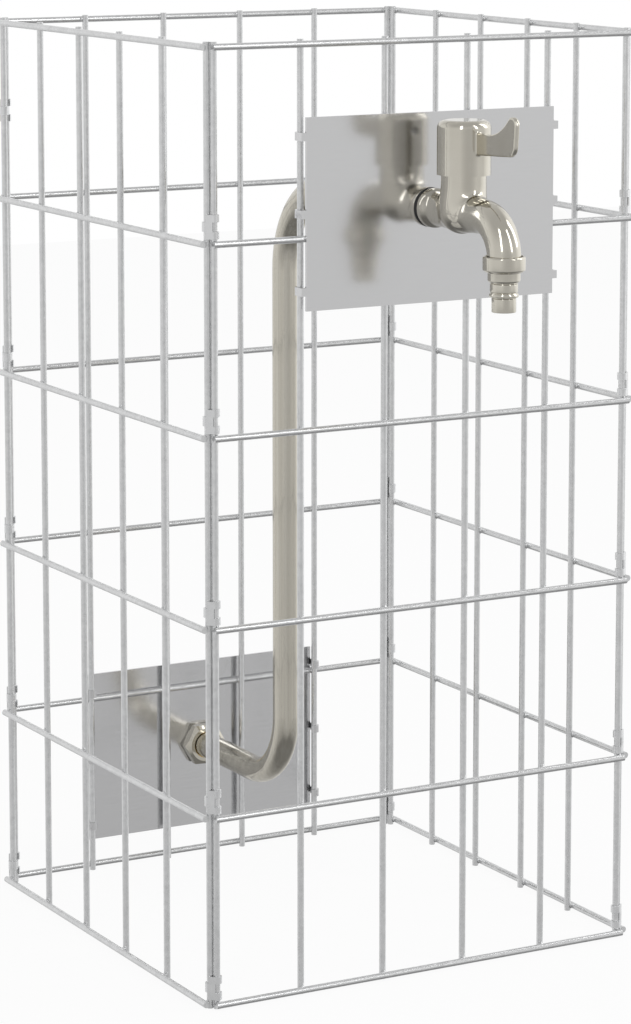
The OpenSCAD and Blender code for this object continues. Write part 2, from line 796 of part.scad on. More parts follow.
module spindle_seal_rings() {
    color(black_rubber) at_hub() for (z = ring_z) translate([0, 0, z])
        rotate_extrude() translate([(ring_groove_d + ring_t + running_gap) / 2, 0]) circle(d = ring_t);
}

// A split ring in the spindle's groove that holds the spindle down
module spindle_clip() {
    mouth_w = clip_groove_d * clip_mouth_share;
    color(stainless) at_hub() difference() {
        ring(clip_ring_d, clip_groove_d + 2 * thread_gap, clip_ring_z, clip_ring_z + clip_ring_t - film);
        translate([0, -mouth_w / 2, clip_ring_z - past])
            cube([clip_ring_d, mouth_w, clip_ring_t + 2 * past]);
    }
}

// The lever's outline: forward reach across, height above the tap's axis up
function lever_outline() =
    let (
        root_top = hub_top - lever_drop,
        foot = root_top - lever_root_h,
        tip = [lever_reach - lever_tip_r, root_top + lever_tip_rise - lever_tip_r],
        corner = [
            lever_reach - lever_corner_inset - lever_corner_r,
            foot + lever_under_rise + lever_corner_r
        ],
        rise = tip - corner,
        lean = atan2(rise[1], rise[0]) - acos((lever_corner_r - lever_tip_r) / norm(rise)),
        sweep_start = hub_d / 2 + lever_flat_l,
        slope = 2 * atan(lever_tip_rise / (tip[0] - sweep_start)),
        sweep_r = (tip[0] - sweep_start) / sin(slope) - lever_tip_r,
        sweep_middle = [sweep_start, root_top + sweep_r]
    )
    concat(
        [[0, foot]],
        arc(corner, lever_corner_r, -90, lean, 6),
        arc(tip, lever_tip_r, lean, 90 + slope, 10),
        arc(sweep_middle, sweep_r, slope - 90, -90, 10),
        [[0, root_top]]
    );

// The hub's profile: plain side, rounded upper edge
function hub_outline() =
    concat(
        [[0, hub_foot], [hub_d / 2, hub_foot]],
        arc([hub_d / 2 - hub_round, hub_top - hub_round], hub_round, 0, 90, 8),
        [[0, hub_top]]
    );

module lever_handle() {
    socket_w = square_w + 2 * thread_gap;
    color(nickel) at_hub() difference() {
        union() {
            rotate_extrude() polygon(hub_outline());
            rotate([90, 0, -90]) translate([0, 0, -lever_t / 2]) linear_extrude(lever_t)
                polygon(lever_outline());
        }
        bar(hub_cavity_d, hub_foot - past, hub_roof);
        square_bar(socket_w, hub_roof - past, square_top);
        translate([0, 0, screw_z]) along_y() bar(screw_d + 2 * thread_gap, 0, hub_d);
    }
}

// A headless screw through the back of the hub that grips the spindle's square
module handle_screw() {
    color(stainless) at_hub() translate([0, 0, screw_z]) along_y() difference() {
        bar(screw_d, screw_start, screw_end);
        translate([0, 0, screw_end - screw_af])
            cylinder(d = screw_af / cos(30), h = screw_af + past, $fn = 6);
    }
}

module nozzle_washer() {
    color(black_rubber) at_nozzle() ring(nozzle_flange_d, spout_bore_d, nozzle_washer_z, spout_end_z);
}

// The nozzle's outline: flange in the nut, plain top, groove, middle with a bead at its foot, plain end
function nozzle_outline() =
    let (
        bore_r = nozzle_bore_d / 2,
        flange_r = nozzle_flange_d / 2,
        top_r = nozzle_top_d / 2,
        middle_r = nozzle_middle_d / 2,
        groove_r = middle_r - nozzle_groove_t,
        groove_foot = nozzle_middle_z - nozzle_groove_t,
        bead_r = middle_r + nozzle_bead_rim,
        end_r = nozzle_end_d / 2
    )
    [
        [bore_r, nozzle_washer_z], [flange_r, nozzle_washer_z],
        [flange_r, nozzle_flange_z], [top_r, nozzle_flange_z],
        [top_r, nozzle_middle_z], [groove_r, nozzle_middle_z],
        [groove_r, groove_foot], [middle_r, groove_foot],
        [middle_r, nozzle_bead_z], [bead_r, nozzle_bead_z - nozzle_bead_rim],
        [bead_r, nozzle_end_z], [end_r, nozzle_end_z],
        [end_r, nozzle_tip_z], [bore_r, nozzle_tip_z]
    ];

module hose_nozzle() {
    color(nickel) at_nozzle() rotate_extrude() polygon(nozzle_outline());
}

// The nut's outline: a lip under the nozzle's flange, and a bevelled foot
function nut_outline() =
    [
        [nut_mouth_d / 2, nut_foot], [nut_d / 2 - nut_bevel, nut_foot],
        [nut_d / 2, nut_foot + nut_bevel], [nut_d / 2, nut_top],
        [nut_inner_d / 2, nut_top], [nut_inner_d / 2, lip_top],
        [nut_mouth_d / 2, lip_top]
    ];

module nozzle_nut() {
    color(nickel) at_nozzle() rotate_extrude() polygon(nut_outline());
}

front_mesh_panel();
rear_mesh_panel();
left_mesh_panel();
right_mesh_panel();
front_left_clips();
front_right_clips();
rear_left_clips();
rear_right_clips();
front_plate();
rear_plate();
riser_pipe();
inlet_connector();
inlet_compression_nut();
inlet_olive();
inlet_washer();
outlet_tail();
tap_washer();
tap_body();
seat_seal();
lower_ceramic_disc();
upper_ceramic_disc();
cartridge_body();
cartridge_gasket();
spindle();
spindle_seal_rings();
spindle_clip();
lever_handle();
handle_screw();
nozzle_washer();
hose_nozzle();
nozzle_nut();
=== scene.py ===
"""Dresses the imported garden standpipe: cast tap, turned nozzle, welds, metals, studio light and camera.

Sizes of the castings, the turned pieces and the nuts are in millimetres. Fields and profiles are in the
tap's own axes: across, out from the front plate, and above the tap's axis; in_frame takes them to the
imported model's frame. All else is in that frame, in metres.
"""

import json
import math

import bmesh
import bpy
import numpy as np
from mathutils import Euler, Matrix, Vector


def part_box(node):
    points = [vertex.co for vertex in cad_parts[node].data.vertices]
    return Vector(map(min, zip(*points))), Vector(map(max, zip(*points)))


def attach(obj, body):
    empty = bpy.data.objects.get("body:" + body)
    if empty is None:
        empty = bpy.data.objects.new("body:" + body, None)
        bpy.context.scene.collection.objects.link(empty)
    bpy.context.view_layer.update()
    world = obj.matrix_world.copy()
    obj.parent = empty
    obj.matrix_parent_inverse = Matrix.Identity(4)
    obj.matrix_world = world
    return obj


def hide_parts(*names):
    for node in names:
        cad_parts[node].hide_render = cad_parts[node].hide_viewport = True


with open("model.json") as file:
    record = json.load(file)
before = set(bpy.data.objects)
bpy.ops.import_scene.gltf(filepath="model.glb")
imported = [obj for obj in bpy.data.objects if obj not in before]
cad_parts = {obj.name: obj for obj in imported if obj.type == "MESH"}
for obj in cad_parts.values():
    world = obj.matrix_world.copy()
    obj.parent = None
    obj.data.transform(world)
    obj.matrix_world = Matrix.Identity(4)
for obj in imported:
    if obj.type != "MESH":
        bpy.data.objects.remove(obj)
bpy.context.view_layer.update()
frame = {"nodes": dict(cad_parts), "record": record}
nodes = frame["nodes"]
MM = 0.001


def middle(node):
    """Centre of a CAD node's box."""
    low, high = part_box(node)
    return (low + high) / 2


PLATE_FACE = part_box("front_plate")[0].y
TAP_Z = middle("tap_washer").z
HUB = (PLATE_FACE - middle("cartridge_gasket").y) / MM
NOZZLE = (PLATE_FACE - middle("nozzle_nut").y) / MM


def height_mm(z):
    """Height above the tap's axis."""
    return (z - TAP_Z) / MM


def foot_mm(node):
    """Height of a CAD node's lowest point above the tap's axis."""
    return height_mm(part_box(node)[0].z)


def top_mm(node):
    """Height of a CAD node's highest point above the tap's axis."""
    return height_mm(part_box(node)[1].z)


def radius_mm(node):
    """Half a CAD node's width across, which is the radius of a round one."""
    low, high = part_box(node)
    return (high.x - low.x) / 2 / MM


# Materials

NOISE_LOW = 0.3
NOISE_HIGH = 0.7


def new_material(name):
    material = bpy.data.materials.new(name)
    material.use_nodes = True
    tree = material.node_tree
    return material, tree, tree.nodes["Principled BSDF"]


def noise(tree, scale, detail=3.0, stretch=(1, 1, 1)):
    """A noise texture in the frame's own coordinates, in features per metre."""
    coordinates = tree.nodes.new("ShaderNodeTexCoord")
    mapping = tree.nodes.new("ShaderNodeMapping")
    mapping.inputs["Scale"].default_value = stretch
    texture = tree.nodes.new("ShaderNodeTexNoise")
    texture.inputs["Scale"].default_value = scale
    texture.inputs["Detail"].default_value = detail
    tree.links.new(coordinates.outputs["Object"], mapping.inputs["Vector"])
    tree.links.new(mapping.outputs["Vector"], texture.inputs["Vector"])
    return texture.outputs["Fac"]


def ramp(tree, value, stops):
    """Colours between stops, each (position, red, green, blue)."""
    node = tree.nodes.new("ShaderNodeValToRGB")
    elements = node.color_ramp.elements
    while len(elements) < len(stops):
        elements.new(0.5)
    for element, stop in zip(elements, stops):
        element.position = stop[0]
        element.color = (*stop[1:], 1)
    tree.links.new(value, node.inputs["Fac"])
    return node.outputs["Color"]


def spread(tree, value, low, high, start=NOISE_LOW, stop=NOISE_HIGH):
    """Maps the range from start to stop, by default the middle of a noise's, to that from low to high."""
    node = tree.nodes.new("ShaderNodeMapRange")
    node.inputs["From Min"].default_value = start
    node.inputs["From Max"].default_value = stop
    node.inputs["To Min"].default_value = low
    node.inputs["To Max"].default_value = high
    tree.links.new(value, node.inputs["Value"])
    return node.outputs["Result"]


def bump(tree, shader, value, strength, distance):
    node = tree.nodes.new("ShaderNodeBump")
    node.inputs["Strength"].default_value = strength
    node.inputs["Distance"].default_value = distance
    tree.links.new(value, node.inputs["Height"])
    tree.links.new(node.outputs["Normal"], shader.inputs["Normal"])


def surface(name, dark, light, rough, scale, metallic=1.0, stretch=(1, 1, 1), relief=(0.05, 0.0001, 900)):
    """A surface whose colour and gloss vary a little, with a fine relief of (strength, depth, scale)."""
    material, tree, shader = new_material(name)
    shader.inputs["Metallic"].default_value = metallic
    patches = noise(tree, scale, stretch=stretch)
    colour = ramp(tree, patches, [(NOISE_LOW, *dark), (NOISE_HIGH, *light)])
    tree.links.new(colour, shader.inputs["Base Color"])
    tree.links.new(spread(tree, patches, *rough), shader.inputs["Roughness"])
    strength, depth, fine = relief
    bump(tree, shader, noise(tree, fine, stretch=stretch), strength, depth)
    return material


def galvanised_surface(metallic=0.85, crystals_per_metre=420, crystal_share=0.35):
    """Zinc: fine crystals in duller and brighter patches, and a slightly uneven skin."""
    material, tree, shader = new_material("galvanised")
    shader.inputs["Metallic"].default_value = metallic
    coordinates = tree.nodes.new("ShaderNodeTexCoord")
    crystals = tree.nodes.new("ShaderNodeTexVoronoi")
    crystals.inputs["Scale"].default_value = crystals_per_metre
    tree.links.new(coordinates.outputs["Object"], crystals.inputs["Vector"])
    tone = tree.nodes.new("ShaderNodeMix")
    tone.data_type = "FLOAT"
    tone.inputs["Factor"].default_value = crystal_share
    tree.links.new(noise(tree, scale=160, detail=4.0), tone.inputs["A"])
    tree.links.new(crystals.outputs["Distance"], tone.inputs["B"])
    stops = [(0.25, 0.65, 0.654, 0.658), (0.5, 0.71, 0.714, 0.718), (0.75, 0.765, 0.769, 0.773)]
    tree.links.new(ramp(tree, tone.outputs["Result"], stops), shader.inputs["Base Color"])
    gloss = spread(tree, noise(tree, scale=240, detail=4.0), low=0.2, high=0.26)
    tree.links.new(gloss, shader.inputs["Roughness"])
    bump(tree, shader, noise(tree, scale=700), strength=0.05, distance=0.0002)
    return material


GALVANISED = galvanised_surface()
CLIP_STEEL = surface("clip_steel", (0.72, 0.725, 0.73), (0.8, 0.805, 0.81), (0.24, 0.34), 220)
STAINLESS = surface(
    "satin_stainless", (0.672, 0.672, 0.677), (0.688, 0.688, 0.693), (0.135, 0.155), 60,
    stretch=(1, 1, 20), relief=(0.004, 0.00002, 400))
# A darker copy of the satin stainless for the rear plate inside the cage: painted shade. It is also a
# little rougher.
SHADED_STAINLESS = surface(
    "stainless_painted_shade", (0.625, 0.625, 0.63), (0.65, 0.65, 0.655), (0.145, 0.165), 60,
    stretch=(1, 1, 20), relief=(0.004, 0.00002, 400))
NICKEL = surface(
    "polished_nickel", (0.595, 0.567, 0.495), (0.638, 0.61, 0.54), (0.09, 0.12), 60,
    relief=(0.004, 0.00005, 120))
# Streaks of lighter and darker colour run along the pipe: painted reflection streaks. The gloss varies
# along them too.
STREAKED_PIPE_NICKEL = surface(
    "nickel_painted_streaks", (0.55, 0.522, 0.451), (0.638, 0.61, 0.54), (0.12, 0.18), 420,
    stretch=(1, 1, 0.01), relief=(0.01, 0.00005, 420))
BRASS = surface("bare_brass", (0.62, 0.43, 0.16), (0.76, 0.56, 0.24), (0.22, 0.34), 180)
CERAMIC = surface(
    "white_ceramic", (0.8, 0.79, 0.76), (0.86, 0.85, 0.83), (0.2, 0.28), 300, metallic=0.0)
RUBBER = surface(
    "black_rubber", (0.012, 0.012, 0.012), (0.03, 0.03, 0.03), (0.5, 0.7), 500, metallic=0.0)
BY_SLOT = {
    "galvanised": GALVANISED, "stainless": STAINLESS, "nickel": NICKEL,
    "brass": BRASS, "ceramic": CERAMIC, "rubber": RUBBER,
}


def paint(item, material):
    item.data.materials.clear()
    item.data.materials.append(material)


for part in frame["record"]["subparts"]:
    paint(nodes[part["node"]], BY_SLOT[part["material_slot"]])
for corner in ("front_left", "front_right", "rear_left", "rear_right"):
    paint(nodes[corner + "_clips"], CLIP_STEEL)
# The rear plate takes the darker copy of the stainless, which is painted shade.
paint(nodes["rear_plate"], SHADED_STAINLESS)
# The riser pipe takes the nickel with painted reflection streaks.
paint(nodes["riser_pipe"], STREAKED_PIPE_NICKEL)


# Pieces


def add_piece(name, mesh, material, body):
    """A smooth object that rides on a body."""
    for polygon in mesh.polygons:
        polygon.use_smooth = True
    item = bpy.data.objects.new(name, mesh)
    bpy.context.scene.collection.objects.link(item)
    paint(item, material)
    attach(item, body)
    return item


def nickel_piece(name, points, faces, body, node):
    """A polished piece on a body, which stands for a CAD node."""
    mesh = bpy.data.meshes.new(name)
    mesh.from_pydata([tuple(p) for p in points], [], [tuple(f) for f in faces])
    work = bmesh.new()
    work.from_mesh(mesh)
    bmesh.ops.recalc_face_normals(work, faces=work.faces)
    work.to_mesh(mesh)
    work.free()
    item = add_piece(name, mesh, NICKEL, body)
    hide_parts(node)
    return item


def in_frame(points):
    """From (across, out from the front plate, above the tap's axis) in mm to the frame."""
    return np.stack([points[:, 0] * MM, PLATE_FACE - points[:, 1] * MM, TAP_Z + points[:, 2] * MM], -1)


# Castings, as the surface where a field of distances is zero

GRID = 0.62
SLOPE_REACH = 0.02
SETTLE_ROUNDS = 5
LEAST_SLOPE = 0.25
MOST_MOVE = 0.4
EDGE = 0.3
PAST = 6.0


def slope(field, points):
    """Gradient of a field, by differences."""
    columns = []
    for axis in range(3):
        step = np.zeros(3)
        step[axis] = SLOPE_REACH
        columns.append((field(points + step) - field(points - step)) / (2 * SLOPE_REACH))
    return np.stack(columns, -1)


def settle(field, points):
    """Moves points that lie near the surface onto it."""
    most = MOST_MOVE * GRID
    for _ in range(SETTLE_ROUNDS):
        g = slope(field, points)
        move = field(points)[:, None] * g / np.maximum((g * g).sum(-1, keepdims=True), LEAST_SLOPE)
        points = points - np.clip(move, -most, most)
    return points


def shell(field, low, high):
    """Points and four-sided faces of the field's surface in a box: one point in each cell that it cuts."""
    counts = [int(math.ceil((b - a) / GRID)) + 1 for a, b in zip(low, high)]
    lines = [a + GRID * np.arange(n) for a, n in zip(low, counts)]
    grid = np.stack(np.meshgrid(*lines, indexing="ij"), -1)
    value = field(grid.reshape(-1, 3)).reshape(counts)
    inside = value < 0
    cells = tuple(n - 1 for n in counts)
    total = np.zeros(cells + (3,))
    number = np.zeros(cells)
    crossings = []
    for axis in range(3):
        first = [slice(None)] * 3
        last = [slice(None)] * 3
        first[axis] = slice(0, -1)
        last[axis] = slice(1, None)
        a, b = value[tuple(first)], value[tuple(last)]
        cross = inside[tuple(first)] != inside[tuple(last)]
        share = np.where(cross, a / np.where(cross, a - b, 1), 0)
        point = grid[tuple(first)].copy()
        point[..., axis] += share * GRID
        others = [k for k in range(3) if k != axis]
        for du in (0, 1):
            for dv in (0, 1):
                part = [slice(None)] * 3
                part[others[0]] = slice(du, counts[others[0]] - 1 + du)
                part[others[1]] = slice(dv, counts[others[1]] - 1 + dv)
                hit = cross[tuple(part)]
                total += np.where(hit[..., None], point[tuple(part)], 0)
                number += hit
        crossings.append((others, cross))
    active = number > 0
    index = np.full(cells, -1)
    index[active] = np.arange(active.sum())
    points = total[active] / number[active][:, None]
    faces = []
    for others, cross in crossings:
        at = np.argwhere(cross)
        inner = np.all((at[:, others] > 0) & (at[:, others] < np.array(counts)[others] - 1), axis=1)
        at = at[inner]
        ring = []
        for du, dv in ((-1, -1), (0, -1), (0, 0), (-1, 0)):
            cell = at.copy()
            cell[:, others[0]] += du
            cell[:, others[1]] += dv
            ring.append(index[cell[:, 0], cell[:, 1], cell[:, 2]])
        faces.append(np.stack(ring, -1))
    return settle(field, points), np.concatenate(faces)


def melt(a, b, k):
    """Union of two fields with a fillet about k wide."""
    h = np.maximum(k - np.abs(a - b), 0) / k
    return np.minimum(a, b) - h * h * h * k / 6


def carve(a, b, k=EDGE):
    """Field a without field b, with the edge broken over about k."""
    return -melt(-a, b, k)


def rounded(a, b, edge):
    """Field of two walls that meet in a rounded edge; a and b count from the centre of its round."""
    outer = np.sqrt(np.maximum(a, 0) ** 2 + np.maximum(b, 0) ** 2)
    return outer + np.minimum(np.maximum(a, b), 0) - edge


def can(r, h, radius, low, high, edge):
    """Round bar about an axis, r from the axis and h along it, with its edges rounded."""
    half = (high - low) / 2
    return rounded(r - (radius - edge), np.abs(h - (low + high) / 2) - (half - edge), edge)


# Tap body

NECK_TOP = foot_mm("cartridge_gasket")
COLLAR_R = radius_mm("tap_washer")
COLLAR_START = (PLATE_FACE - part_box("tap_washer")[0].y) / MM
NECK_R = radius_mm("cartridge_gasket") + 0.75
NECK_FOOT = -7.6
NECK_FOOT_EDGE = 7.0
BODY_LOW = foot_mm("tap_body")
BEND_R = 20.0
SPOUT_ROOT_R = 9.2
SPOUT_END_R = 8.75
SPOUT_FILLET = 7.0
THREAD_R = 9.5
THREAD_L = 3.2
RIM_L = 2.6
RIM_EDGE = 0.5
WAIST_SLOPE_L = 5.4
WAIST_TUCK = 1.4
SWELL = 0.8
SWELL_L = 20
BELLY_FILLET = 5
NECK_FILLET = 12
FILLET_FOOT = -4
FILLET_RISE = 12
CHAMBER_R = 9.41
CHAMBER_FOOT = 4
CHAMBER_EDGE = 0.4
SOCKET_R = 8.55
SOCKET_L = 5
BORE_R = 5.5
BORE_EDGE = 2
BORE_TOP = -BEND_R + 3
LEAST_RISE = 1e-6
TAP_LOW = (-16, COLLAR_START - 1.1, BODY_LOW - 1)
TAP_HIGH = (16, NOZZLE + 11, NECK_TOP + 1.2)


def spout_field(x, s, h):
    """A tapering round spout: level from the neck, then a quarter bend down."""
    straight = NOZZLE - BEND_R - HUB
    u, v = s - (NOZZLE - BEND_R), h + BEND_R
    angle = np.arctan2(np.maximum(u, 0), np.maximum(v, LEAST_RISE))
    on_bend = np.hypot(np.hypot(u, v) - BEND_R, x)
    level = np.hypot(x, h)
    below = np.hypot(x, u - BEND_R)
    away = np.where(u < 0, level, np.where(v < 0, below, on_bend))
    along = np.where(u < 0, s - HUB, straight + BEND_R * angle)
    share = np.clip(along / (straight + BEND_R * math.pi / 2), 0, 1)
    radius = SPOUT_ROOT_R + (SPOUT_END_R - SPOUT_ROOT_R) * share
    start = HUB - s
    stop = np.where(u > 0, BODY_LOW - h, -1)
    return np.maximum(np.maximum(away - radius, start), stop)


def barrel_field(level, s):
    """The level barrel: a rim at the plate, a waist and a slow swell towards the neck."""
    fall = np.clip((s - COLLAR_START - RIM_L) / WAIST_SLOPE_L, 0, 1)
    swell = np.clip((s - COLLAR_START - RIM_L - WAIST_SLOPE_L) / SWELL_L, 0, 1)
    waist = WAIST_TUCK * (1 - np.cos(math.pi * fall)) / 2
    radius = COLLAR_R - waist + SWELL * swell * swell * (3 - 2 * swell)
    return can(level + COLLAR_R - radius, s, COLLAR_R, COLLAR_START, HUB, RIM_EDGE)


def tap_field(p):
    x, s, h = p[:, 0], p[:, 1], p[:, 2]
    level = np.hypot(x, h)
    upright = np.hypot(x, s - HUB)
    at_nozzle = np.hypot(x, s - NOZZLE)
    neck = can(upright, h, NECK_R, NECK_FOOT, NECK_TOP + PAST, NECK_FOOT_EDGE)
    neck = np.maximum(neck, h - NECK_TOP)
    lift = np.clip((h - FILLET_FOOT) / FILLET_RISE, 0, 1)
    body = melt(barrel_field(level, s), neck, BELLY_FILLET + (NECK_FILLET - BELLY_FILLET) * lift)
    body = melt(body, spout_field(x, s, h), SPOUT_FILLET)
    body = np.minimum(body, can(at_nozzle, h, THREAD_R, BODY_LOW, BODY_LOW + THREAD_L, EDGE))
    chamber = can(upright, h, CHAMBER_R, CHAMBER_FOOT, NECK_TOP + PAST, CHAMBER_EDGE)
    socket = can(level, s, SOCKET_R, -PAST, COLLAR_START + SOCKET_L, EDGE)
    bore = can(at_nozzle, h, BORE_R, BODY_LOW - PAST, BORE_TOP, BORE_EDGE)
    return carve(carve(carve(body, chamber), socket), bore)


points, faces = shell(tap_field, TAP_LOW, TAP_HIGH)
nickel_piece("tap_casting", in_frame(points), faces, "stand", "tap_body")


# Lever, made about its own axis

HUB_R = radius_mm("lever_handle")
HUB_FOOT = foot_mm("lever_handle")
HUB_PAST = 8
HUB_WALL = 1.8
HUB_EDGE = 4.2
HOLLOW_EDGE = 0.6
RIM_BAND = 1
SQUARE_TOP = top_mm("spindle")
SQUARE_L = 9
SQUARE_HALF = 3.15
HUB_TOP = SQUARE_TOP + 5.2
LEVER_REACH = (middle("cartridge_gasket").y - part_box("lever_handle")[0].y) / MM
LEVER_TOP = top_mm("lever_handle")
SCREW_Z = height_mm(middle("handle_screw").z)
SCREW_R = radius_mm("handle_screw") + 0.05
SCREW_EDGE = 0.4
FIN_TOP = HUB_TOP - 5.8
FIN_FOOT = FIN_TOP - 12
FIN_ROOT = 4.0
FIN_T = 2.6
FIN_EDGE = 0.7
FIN_FILLET = 1.0
SWEEP_START = HUB_R + 10
TIP_R = 4.3
CORNER_R = 6.0
CORNER_BACK = 1
CORNER_LIFT = 2
CORNER_POINTS = 14
SWEEP_POINTS = 24
LEAST_AREA = 1e-12
LEVEL = 1e-9
LEVER_LOW = (-HUB_R - 1, -HUB_R - 1, HUB_FOOT - 1)
LEVER_HIGH = (HUB_R + 1, LEVER_REACH + 1, LEVER_TOP + 1)


def arc(centre, r, start, stop, count):
    """Points on a circle between two angles."""
    turns = np.linspace(start, stop, count)
    return [(centre[0] + r * math.cos(t), centre[1] + r * math.sin(t)) for t in turns]


def fin_outline():
    """The fin seen from the side: reach from the lever's axis, height above the tap's axis."""
    tip = np.array([LEVER_REACH - TIP_R, LEVER_TOP - TIP_R])
    corner = np.array([LEVER_REACH - CORNER_BACK - CORNER_R, FIN_FOOT + CORNER_LIFT + CORNER_R])
    rise = tip - corner
    lean = math.atan2(rise[1], rise[0]) - math.acos((CORNER_R - TIP_R) / np.hypot(*rise))
    bend = 2 * math.atan((LEVER_TOP - FIN_TOP) / (tip[0] - SWEEP_START))
    sweep_r = (tip[0] - SWEEP_START) / math.sin(bend) - TIP_R
    sweep = (SWEEP_START, FIN_TOP + sweep_r)
    line = [(FIN_ROOT, FIN_FOOT)]
    line += arc(corner, CORNER_R, -math.pi / 2, lean, CORNER_POINTS)
    line += arc(tip, TIP_R, lean, math.pi / 2 + bend, SWEEP_POINTS)
    line += arc(sweep, sweep_r, bend - math.pi / 2, -math.pi / 2, SWEEP_POINTS)
    line += [(FIN_ROOT, FIN_TOP)]
    return np.array(line)


FIN = fin_outline()


def outline_distance(q, line):
    """Signed distance from points to a closed outline, negative inside."""
    best = np.full(len(q), np.inf)
    inside = np.zeros(len(q), bool)
    for a, b in zip(line, np.roll(line, -1, axis=0)):
        edge = b - a
        rel = q - a
        t = np.clip(rel @ edge / (edge @ edge + LEAST_AREA), 0, 1)
        best = np.minimum(best, np.hypot(*(rel - t[:, None] * edge).T))
        above = (a[1] > q[:, 1]) != (b[1] > q[:, 1])
        rise = edge[1] if abs(edge[1]) > LEVEL else LEVEL
        inside ^= above & (q[:, 0] < a[0] + edge[0] * (q[:, 1] - a[1]) / rise)
    return np.where(inside, -best, best)


def lever_field(p):
    x, s, h = p[:, 0], p[:, 1], p[:, 2]
    r = np.hypot(x, s)
    hub = carve(can(r, h, HUB_R, HUB_FOOT - HUB_PAST, HUB_TOP, HUB_EDGE), h - HUB_FOOT)
    side = outline_distance(np.stack([s, h], -1), FIN) + FIN_EDGE
    flat = np.abs(x) - (FIN_T / 2 - FIN_EDGE)
    body = melt(hub, rounded(side, flat, FIN_EDGE), FIN_FILLET)
    hollow = can(r, h, HUB_R - HUB_WALL, HUB_FOOT - PAST, SQUARE_TOP - SQUARE_L, HOLLOW_EDGE)
    square = np.maximum(np.maximum(np.abs(x), np.abs(s)) - SQUARE_HALF, h - SQUARE_TOP)
    screw = np.maximum(np.hypot(x, h - SCREW_Z) - SCREW_R, s)
    return carve(np.maximum(carve(body, hollow), -square), screw, SCREW_EDGE)


def foot_rim(points, faces):
    """Marks the points right under the hub's wall, which make the edge of its foot."""
    low = points[:, 2] < HUB_FOOT + GRID / 2
    outer = np.hypot(points[:, 0], points[:, 1]) > HUB_R - RIM_BAND
    rim = np.zeros(len(points), bool)
    rim[faces[np.any(~low[faces], axis=1)]] = True
    return rim & low & outer


points, faces = shell(lever_field, LEVER_LOW, LEVER_HIGH)
rim = foot_rim(points, faces)
turn = np.arctan2(points[rim, 0], points[rim, 1])
points[rim] = np.stack([HUB_R * np.sin(turn), HUB_R * np.cos(turn), np.full(len(turn), HUB_FOOT)], -1)
points[:, 1] += HUB
lever = nickel_piece("lever_casting", in_frame(points), faces, "lever", "lever_handle")
for edge in lever.data.edges:
    edge.use_edge_sharp = all(rim[corner] for corner in edge.vertices)


# Turned nozzle and its nut

SEGMENTS = 96
TURNED_SHARP = math.radians(24)
ARC_SHARES = (0.0, 0.33, 0.67, 1.0)
MOST_CUT = 0.4


def swept_faces(count, turns):
    """Faces between the profiles of a closed sweep, each of count points."""
    faces = []
    for k in range(turns):
        n = (k + 1) % turns
        for i in range(count):
            j = (i + 1) % count
            faces.append((k * count + i, k * count + j, n * count + j, n * count + i))
    return faces


def softened(corners, cut):
    """Breaks each corner of a closed profile by a short arc."""
    line = []
    count = len(corners)
    for i in range(count):
        a, b, c = (np.array(corners[(i + k) % count], float) for k in (-1, 0, 1))
        before, after = a - b, c - b
        reach = min(cut, MOST_CUT * np.hypot(*before), MOST_CUT * np.hypot(*after))
        start = b + before / np.hypot(*before) * reach
        stop = b + after / np.hypot(*after) * reach
        for t in ARC_SHARES:
            line.append(tuple((1 - t) ** 2 * start + 2 * t * (1 - t) * b + t * t * stop))
    return line


def turned(name, profile, body, node):
    """Revolves a closed profile of (radius, height above the tap's axis) about the nozzle's axis."""
    points = []
    for k in range(SEGMENTS):
        a = 2 * math.pi * k / SEGMENTS
        for r, h in profile:
            points.append((r * math.sin(a), NOZZLE + r * math.cos(a), h))
    item = nickel_piece(name, in_frame(np.array(points)), swept_faces(len(profile), SEGMENTS), body, node)
    item.data.set_sharp_from_angle(angle=TURNED_SHARP)


NUT_TOP = top_mm("nozzle_nut")
NUT_FOOT = foot_mm("nozzle_nut")
NUT_R = radius_mm("nozzle_nut")
NUT_CHAMFER = 0.7
NUT_CONE_R = 1.5
NUT_CONE_H = 1.3
NUT_GAP = 0.12
LIP_TOP = NUT_FOOT + 1.7
FLANGE_TOP = top_mm("hose_nozzle")
FLANGE_R = radius_mm("hose_nozzle")
FLANGE_FOOT = LIP_TOP + 0.03
NOZZLE_R = FLANGE_R - 1
TIP_Z = foot_mm("hose_nozzle")
WATERWAY_R = 4.5
STEP_Z = NUT_FOOT - 5
STEP_CHAMFER_R = 0.7
STEP_CHAMFER_H = 0.9
NECKING_R = 6.75
STEM_R = 7.2
GROOVE_R = 6.85
BEAD_R = 7.65
BEAD_FOOT_R = 7.5
BEAD_Z = TIP_Z + 7.8
BEAD_H = 0.9
GROOVE_LOW = BEAD_Z + 1.9
GROOVE_HIGH = BEAD_Z + 2.7
GROOVE_SLANT = 0.2
UNDERCUT_R = 6.0
UNDERCUT_H = 0.5
UNDERCUT_SLANT = 0.3
HOSE_END_R = 6.3
NUT_SOFTENING = 0.35
NOZZLE_SOFTENING = 0.22

